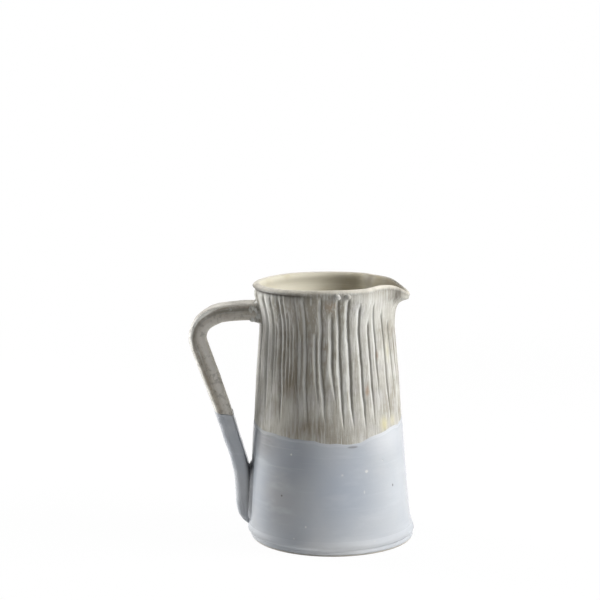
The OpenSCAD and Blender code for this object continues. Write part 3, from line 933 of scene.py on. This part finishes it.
def make_dip_coat(material):
    angle = all_round(COAT_COLUMNS)
    edge = dip_edge(angle)
    rows = [(FOOT_R - TUCK, BARE_FOOT), (FOOT_R + 0.0004, BARE_FOOT + 0.0004), (FOOT_R + DIP_COAT, 0.0027),
            (FOOT_R + 0.0006, 0.0034), (FOOT_R + 0.0005, 0.0041), (FOOT_R + 0.0006, 0.0047),
            (FOOT_R + 0.0013, 0.0053), (float(taper_r(0.0065)) + 0.0011, 0.0065)]
    for z in np.linspace(0.0085, 0.074, 36):
        heel_flare = HEEL_FLARE * (1 - between(z, 0.008, 0.018))
        rows.append((taper_r(z) + DIP_COAT + heel_flare + throwing_rings(z + 0 * angle, angle), z))
    for depth in (0.01, 0.006, 0.0042, 0.003, 0.0022, 0.0016, 0.0011, 0.0007, 0.0003, 0.0001, 0):
        z = edge - depth
        thin = DIP_COAT * (0.35 + 0.65 * between(depth, 0, 0.0105)) * between(depth, -0.0002, 0.001)
        rows.append((taper_r(z) + thin + throwing_rings(z, angle) * between(depth, 0, 0.01), z))
    outer_count = len(rows)
    rows += [(taper_r(edge - depth) - TUCK, edge - depth) for depth in (0, 0.004, 0.012)]
    rows += [(taper_r(z) - TUCK, z) for z in (0.06, 0.03, 0.008)]
    rows += [(FOOT_R + 0.0004, 0.0061), (FOOT_R - 0.0005, 0.005), (FOOT_R - 2 * TUCK, 0.003),
             (FOOT_R - 2 * TUCK, BARE_FOOT + 0.0003)]
    r, z = (np.vstack([row[k] + 0 * angle for row in rows]) for k in range(2))
    # Pale along the dip line's edge, and painted light on the band above the foot
    edge_and_foot_light = (between(edge - z, 0.0034, 0.0002)
                 + between(z, 0.0052, 0.0062) * (1 - between(z, 0.007, 0.014)))
    edge_and_foot_light[outer_count:] = 0
    r, z = pulled(r, z, 0 * r, 0 * r, angle + 0 * r)
    coat = loop_shell("dipped_coat", swung(r, z, angle), {"edge": edge_and_foot_light})
    finish_piece(coat, material, "dip_glaze", "body_dip_glaze")


def make_liner(material):
    """The poured glaze: over the floor, up the wall and into the lip's channel, with throwing rings."""
    rim, crest = rim_rows(60)
    tops = [row for row in rim[crest + 1:] if row[1] < RIM_Z - 0.0006]
    wall = tops + inner_rows(np.linspace(SHOULDER_Z - 0.0026, FLOOR_Z + 0.006, 60))
    floor_r = wall[-1][0]
    bowl = [(floor_r - 0.0008, FLOOR_Z + 0.0025), (floor_r - 0.003, FLOOR_Z + 0.0007),
            (floor_r - 0.006, FLOOR_Z), (0.03, FLOOR_Z), (MIDDLE_R, FLOOR_Z)]
    skin = wall + [(r, z, 0, LIP_LAG) for r, z in bowl]
    back = [(r + TUCK, z - TUCK, roll, lag) for r, z, roll, lag in skin[::-1]]
    front = []
    for i, (r, z, roll, lag) in enumerate(skin):
        coat = LINER_COAT * min(1, i / 4)
        ring = LINER_RING * math.sin(2 * math.pi * z / LINER_PITCH) if i < len(wall) else 0
        ring = ring * float(between(RIM_Z - z, 0.012, 0.045))
        lift = coat if i >= len(wall) else 0
        inset = coat - ring if i <= len(wall) else 0.3 * coat
        front.append((max(r - inset, MIDDLE_R), z + lift, roll, lag))
    liner = capped_shell("poured_liner", turned(back + front, COAT_COLUMNS))
    finish_piece(liner, material, "liner_glaze", "liner_glaze")


# The handle

def way_along(points):
    return np.concatenate([[0], np.cumsum(np.hypot(*np.diff(points, axis=0).T))])


PATH = smooth_path(STRAP_PATH, 600) * MM
PATH_RUN = way_along(PATH)
STRAP_LENGTH = PATH_RUN[-1]
STRAP_HALF_THICKNESS = STRAP_THICKNESS[0][1] / 2
PATH_RUN = PATH_RUN / STRAP_LENGTH
PATH_WAY = np.gradient(PATH, axis=0) / np.hypot(*np.gradient(PATH, axis=0).T)[:, None]


def closed_section(half):
    """A strap section from its half, as points and their share of the way round."""
    points = smooth_path(half + [(p, -q) for p, q in half[-2::-1]], 400)
    way = way_along(points)
    return points, way / way[-1]


ARM_ROUND = closed_section(ARM_SECTION)
RUN_ROUND = closed_section(RUN_SECTION)


def along(run, table):
    return np.interp(run, *np.asarray(table).T)


def section_at(a, run=0):
    """The section at a share of the way round: p out from the middle line, q across, each from -1 to 1."""
    changed = between(run, 0.16, 0.34)
    (arm, arm_way), (lower, lower_way) = ARM_ROUND, RUN_ROUND
    p, q = (np.interp(a, arm_way, arm[:, k]) * (1 - changed) + np.interp(a, lower_way, lower[:, k]) * changed
            for k in range(2))
    return np.where(p < 0, p * (1 - INSIDE_SLOPE * changed * (1 + q) / 2), p), q


def strap_point(run, a, grow):
    """A point on the strap: run goes along it and a round it, each from 0 to 1, and grow stands off it."""
    u, z = (np.interp(run, PATH_RUN, PATH[:, k]) for k in range(2))
    way_u, way_z = (np.interp(run, PATH_RUN, PATH_WAY[:, k]) for k in range(2))
    p, q = section_at(a, run)
    lumps = 0.00022 * ripple(run * 40, a * 9, 31, 64) + 0.00008 * ripple(run * 130, a * 24, 32, 160)
    p = p * (along(run, STRAP_THICKNESS) / 2 + grow + lumps)
    q = q * (along(run, STRAP_WIDTH) * STRAP_HALF_WIDTH + grow + lumps)
    return points_at(-(u - way_z * p), q, z + way_u * p)


def round_section(count):
    return np.linspace(0, 1, count, endpoint=False)[None, :]


def make_strap(material):
    run, a = np.linspace(0, 1, STRAP_ROWS)[:, None], round_section(STRAP_COLUMNS)
    grid = strap_point(run + 0 * a, a + 0 * run, 0)
    p, q = section_at(a, run)
    length = run * STRAP_LENGTH + 0 * p
    bend = between(run, 0.12, 0.21)
    fall = between(run, 0.26, 0.34)
    # Painted light: the strap's top and outer faces are made paler, most round the bend, and so is the inner
    # half of its front face
    pale_from = 0.72 - 0.28 * bend + 0.17 * fall
    dome_light = between(p, pale_from, pale_from + 0.16) * (1 - 0.8 * between(p, 0.84, 0.97) * bend)
    inside_light = (0.65 + 0.35 * bend) * between(-p, -0.3, 0.45)
    # Painted shade: a groove under the strap's top edge, darkest on the arm and fading down the long run, and
    # the outer corner round the bend
    shade = 1.5 - 0.4 * bend - 0.45 * fall - 0.55 * between(run, 0.4, 0.54)
    groove = shade * hump(p - 0.36 - 0.09 * fall, 0.32 - 0.09 * fall)
    groove = np.maximum(groove, 0.9 * between(p, 0.84, 0.97) * bend)
    marks = {"unrolled": points_at(p * STRAP_HALF_THICKNESS, q * STRAP_HALF_WIDTH, length),
             "rib": dome_light + inside_light, "groove": groove, "bend_light": dome_light * bend * (1 - 0.5 * fall)}
    strap = capped_shell("pulled_strap", grid, marks)
    finish_piece(strap, material, "fluted_clay", "handle_strap")


def make_strap_dip(material):
    """The dipped sleeve on the strap's lower half, with a level upper edge."""
    a = round_section(STRAP_COLUMNS)
    runs = np.linspace(0.4, 0.9, 400)[:, None]
    heights = strap_point(runs + 0 * a, a + 0 * runs, DIP_COAT)[..., 2]
    line = (HANDLE_DIP_Z + 0.0005 * np.sin(2 * math.pi * a[0] + 0.8)
            + 0.0004 * ripple(a[0] * 11, 0 * a[0], 24, 11))
    start = [np.interp(-line[j], -heights[:, j], runs[:, 0]) for j in range(STRAP_COLUMNS)]
    start = np.array(start)[None, :]
    close = [0, 0.0005, 0.0015, 0.003, 0.005, 0.008, 0.012, 0.018, 0.027]
    steps = np.concatenate([close, np.linspace(0.04, 1, 70)])[:, None]
    run = start + (1 - start) * steps
    coat = DIP_COAT * (between(steps, -0.001, 0.005) + 0.3 * hump(steps - 0.008, 0.006))
    outer = strap_point(run, a + 0 * run, coat)
    back = run[::-6]
    inner = strap_point(back, a + 0 * back, -TUCK)
    grid = np.concatenate([outer, inner])
    edge = np.concatenate([between(steps, 0.016, 0.002) + 0 * a, np.zeros(back.shape)])
    p = section_at(a, run)[0]
    # Painted shade along the crevice where the tail's inner edge meets the wall
    pressed = 0.8 * between(-p, 0.35, 1) * between(run, 0.7, 0.8)
    crevice_shade = np.concatenate([pressed, np.zeros(inner.shape[:2])])
    sleeve = loop_shell("dipped_strap", grid, {"edge": edge, "crevice_shade": crevice_shade})
    finish_piece(sleeve, material, "dip_glaze", "handle_dip_glaze")


def make_collar(material):
    """The roughly luted collar: ragged where it leaves the strap, proud on top, flared onto the wall."""
    a = round_section(COLLAR_COLUMNS)
    t = np.linspace(0, 1, COLLAR_ROWS)[:, None]
    p, q = section_at(a)
    half_thick = along(0.05, STRAP_THICKNESS) / 2
    ragged = 0.0011 * ripple(a * 17, 0 * a, 41, 17) - 0.002 * between(-p, 0, 0.8)
    end_u = COLLAR_U + ragged
    rise = np.where(p > 0, COLLAR_TOP, COLLAR_BOTTOM) * np.abs(p) + COLLAR_SIDE * np.abs(q) * (1 - np.abs(p))
    ridge = 0.001 * hump(t - 0.15, 0.09) * between(p, -0.1, 0.6)
    dent = 0.0007 * hump(t - 0.42, 0.15) * between(p, -0.6, 0.3)
    flare = rise * t ** 2.2 + ridge - dent - 0.0004 * (1 - between(t, 0, 0.05))
    lumps = 0.0005 * ripple(a * 23 + 0 * t, t * 8, 42, 23) + 0.00035 * ripple(a * 47 + 0 * t, t * 17, 43, 47)
    flare = flare + lumps * between(t, 0, 0.15) * (0.45 + 0.55 * between(p, -0.7, 0.2))
    y = q * (STRAP_HALF_WIDTH + flare)
    z = ARM_Z + p * (half_thick + flare)
    wall_u = np.sqrt(np.maximum(outer_r(z) ** 2 - y ** 2, 0)) - COLLAR_SINK
    u = end_u + (wall_u - end_u) * t
    outer = points_at(-u, y, z)
    sunk = points_at(-(u[-1] - COLLAR_SINK), y[-1], z[-1])[None]
    y_in, z_in = q * (STRAP_HALF_WIDTH - COLLAR_SINK), ARM_Z + p * (half_thick - COLLAR_SINK)
    in_wall = points_at(-(0 * a + COLLAR_END_U), y_in, z_in)
    in_strap = points_at(-(end_u - 0.0012), y_in, z_in)
    pale = 0.5 * hump(t - 0.1, 0.09) * between(p, -0.5, 0.3)
    pale = pale + 0.9 * between(ripple(a * 27 + 0 * t, t * 9, 45, 27), 0, 0.4)
    # Painted shade in the crevices among the collar's crumbs, in a mottled band part way along it
    crumbs = 0.9 + 0.8 * ripple(a * 31 + 0 * t, t * 13, 44, 31)
    dark = (crumbs * between(t, 0.18, 0.36) * (1 - between(t, 0.7, 1))
            * (0.4 + 0.6 * between(p, -0.3, 0.4)))
    inside = np.zeros((3, a.size))
    marks = {"rib": np.vstack([pale, inside]), "groove": np.vstack([dark, inside])}
    collar = loop_shell("luted_collar", np.concatenate([outer, sunk, in_wall, in_strap]), marks)
    finish_piece(collar, material, "joint_clay", "upper_collar")


def make_pad(material):
    """The low mound that the strap's tail is pressed into, pushed up into a bead round the tail."""
    a = all_round(PAD_COLUMNS)
    wide = np.sign(np.cos(a)) * np.abs(np.cos(a)) ** 0.55
    tall = np.sign(np.sin(a)) * np.abs(np.sin(a)) ** 0.55
    mid, half = (PAD_LOW + PAD_HIGH - PAD_TRIM) / 2, (PAD_HIGH - PAD_TRIM - PAD_LOW) / 2
    out = np.linspace(0.04, 1, 40)[:, None]
    bead = (0.35 + 0.65 * hump(out - PAD_BEAD, 0.13)) * (1 - between(out, 0.84, 1))
    share = np.concatenate([out, out[::-8]])
    lift = np.concatenate([PAD_THICKNESS * bead + DIP_COAT - 0.0002, np.full((5, 1), -TUCK)])
    z = mid + half * share * tall
    w = PAD_HALF_WIDTH * share * wide * (1 + 0.04 * ripple(turns(a, 13), share * 3 + 0 * a, 51, 13))
    angle = math.pi + w / taper_r(z)
    r, z = pulled(taper_r(z) + lift, z, 0 * z, 0 * z, angle)
    # Painted shade in the crevices where the pad meets the wall and the strap's tail
    crevice_shade = 0.45 * between(out, 0.86, 0.96) + hump(out - 0.55, 0.08) + 0 * a
    pad = capped_shell("pressed_pad", swung(r, z, angle), {"crevice_shade": np.vstack([crevice_shade, np.zeros((5, a.size))])})
    finish_piece(pad, material, "dip_glaze", "lower_pad")


# Camera, light and floor

# Where the camera stands, how it is turned, and its focal length in pixels of a picture 600 pixels wide
CAMERA_SPOT = (0, -1.3, 0.3852)
CAMERA_TURN = (math.pi / 2 - 0.1524, 0.0042, 0.0159)
FOCAL_PIXELS = 1709
PICTURE_PIXELS = 600
SENSOR_WIDTH = 36
FAR_CLIP = 100

# The soft boxes: where they hang, their width and height, their power in watts, and the spot they all face
SOFT_BOXES = {
    "key": ((1.13, -0.18, 0.82), (0.7, 0.7), 23), "edge": ((-1.13, 0.6, 0.34), (0.5, 0.8), 24),
    "top": ((-0.1, 0.1, 1.6), (0.6, 0.6), 8), "front": ((0.55, -1.1, 0.7), (0.6, 0.7), 1.3)}
LIT_SPOT = Vector((0, 0, 0.1))

# The floor is as white as the backdrop, but for a share of shadow within a reach of the jug in millimetres
WHITE = (1, 1, 1, 1)
FLOOR_TONE = (0.84, 0.84, 0.84, 1)
FLOOR_HALF = 25
SHADOW_REACH = (1200, 1000)
SHADOW_SHARE = 0.03


def make_camera():
    data = bpy.data.cameras.new("camera")
    data.sensor_width = SENSOR_WIDTH
    data.lens = FOCAL_PIXELS / PICTURE_PIXELS * data.sensor_width
    data.clip_end = FAR_CLIP
    camera = put("camera", data)
    camera.location = CAMERA_SPOT
    camera.rotation_euler = CAMERA_TURN
    bpy.context.scene.camera = camera


def soft_box(name, spot, size, power):
    data = bpy.data.lights.new(name, "AREA")
    data.shape = "RECTANGLE"
    data.size, data.size_y = size
    data.energy = power
    lamp = put(name, data)
    lamp.location = spot
    lamp.rotation_euler = (LIT_SPOT - Vector(spot)).to_track_quat("-Z", "Y").to_euler()


def seen_directly(tree):
    """1 for rays that show the backdrop or floor, plainly or in a gloss; 0 for those that light things."""
    camera_ray = place(tree, "ShaderNodeLightPath", key="Is Camera Ray")
    seen = calc("MAXIMUM", camera_ray, camera_ray.beside("Is Glossy Ray"))
    return calc("MAXIMUM", seen, camera_ray.beside("Is Transmission Ray"))


def make_studio():
    scene = bpy.context.scene
    scene.view_settings.view_transform = "Standard"
    for name, (spot, size, power) in SOFT_BOXES.items():
        soft_box(name, spot, size, power)
    world = bpy.data.worlds.new("studio")
    world.use_nodes = True
    scene.world = world
    tree = world.node_tree
    tree.nodes.clear()
    back = place(tree, "ShaderNodeBackground", {"Color": WHITE, "Strength": seen_directly(tree)})
    wire(back, tree.nodes.new("ShaderNodeOutputWorld").inputs[0])


def make_floor():
    corners = [(x * FLOOR_HALF, y * FLOOR_HALF, TABLE_Z) for x, y in ((-1, -1), (1, -1), (1, 1), (-1, 1))]
    floor = mesh_object("floor", np.array(corners), [(0, 1, 2, 3)])
    material = bpy.data.materials.new("pale_floor")
    material.use_nodes = True
    tree = material.node_tree
    tree.nodes.clear()
    plain = place(tree, "ShaderNodeBsdfDiffuse", {"Color": FLOOR_TONE})
    white = place(tree, "ShaderNodeEmission", {"Color": WHITE, "Strength": 1})
    where = place(tree, "ShaderNodeTexCoord", key="Object")
    shaded = step(near(where, (0, 0, TABLE_Z / MM), SHADOW_REACH), 0, 0.5, 0, SHADOW_SHARE)
    blend = fed("ShaderNodeMixShader", {0: seen_directly(tree) * (1 - shaded), 1: plain, 2: white})
    wire(blend, tree.nodes.new("ShaderNodeOutputMaterial").inputs[0])
    floor.data.materials.append(material)


CLAY = clay_material("washed_clay")
STRAP_CLAY = clay_material("washed_strap_clay", unrolled=True)
GREY = glaze_material()
LINER = liner_material()
RAW = bare_material()

make_camera()
make_studio()
make_floor()
make_wall(CLAY)
make_burrs(CLAY)
make_base(RAW)
make_dip_coat(GREY)
make_liner(LINER)
make_strap(STRAP_CLAY)
make_strap_dip(GREY)
make_collar(CLAY)
make_pad(GREY)
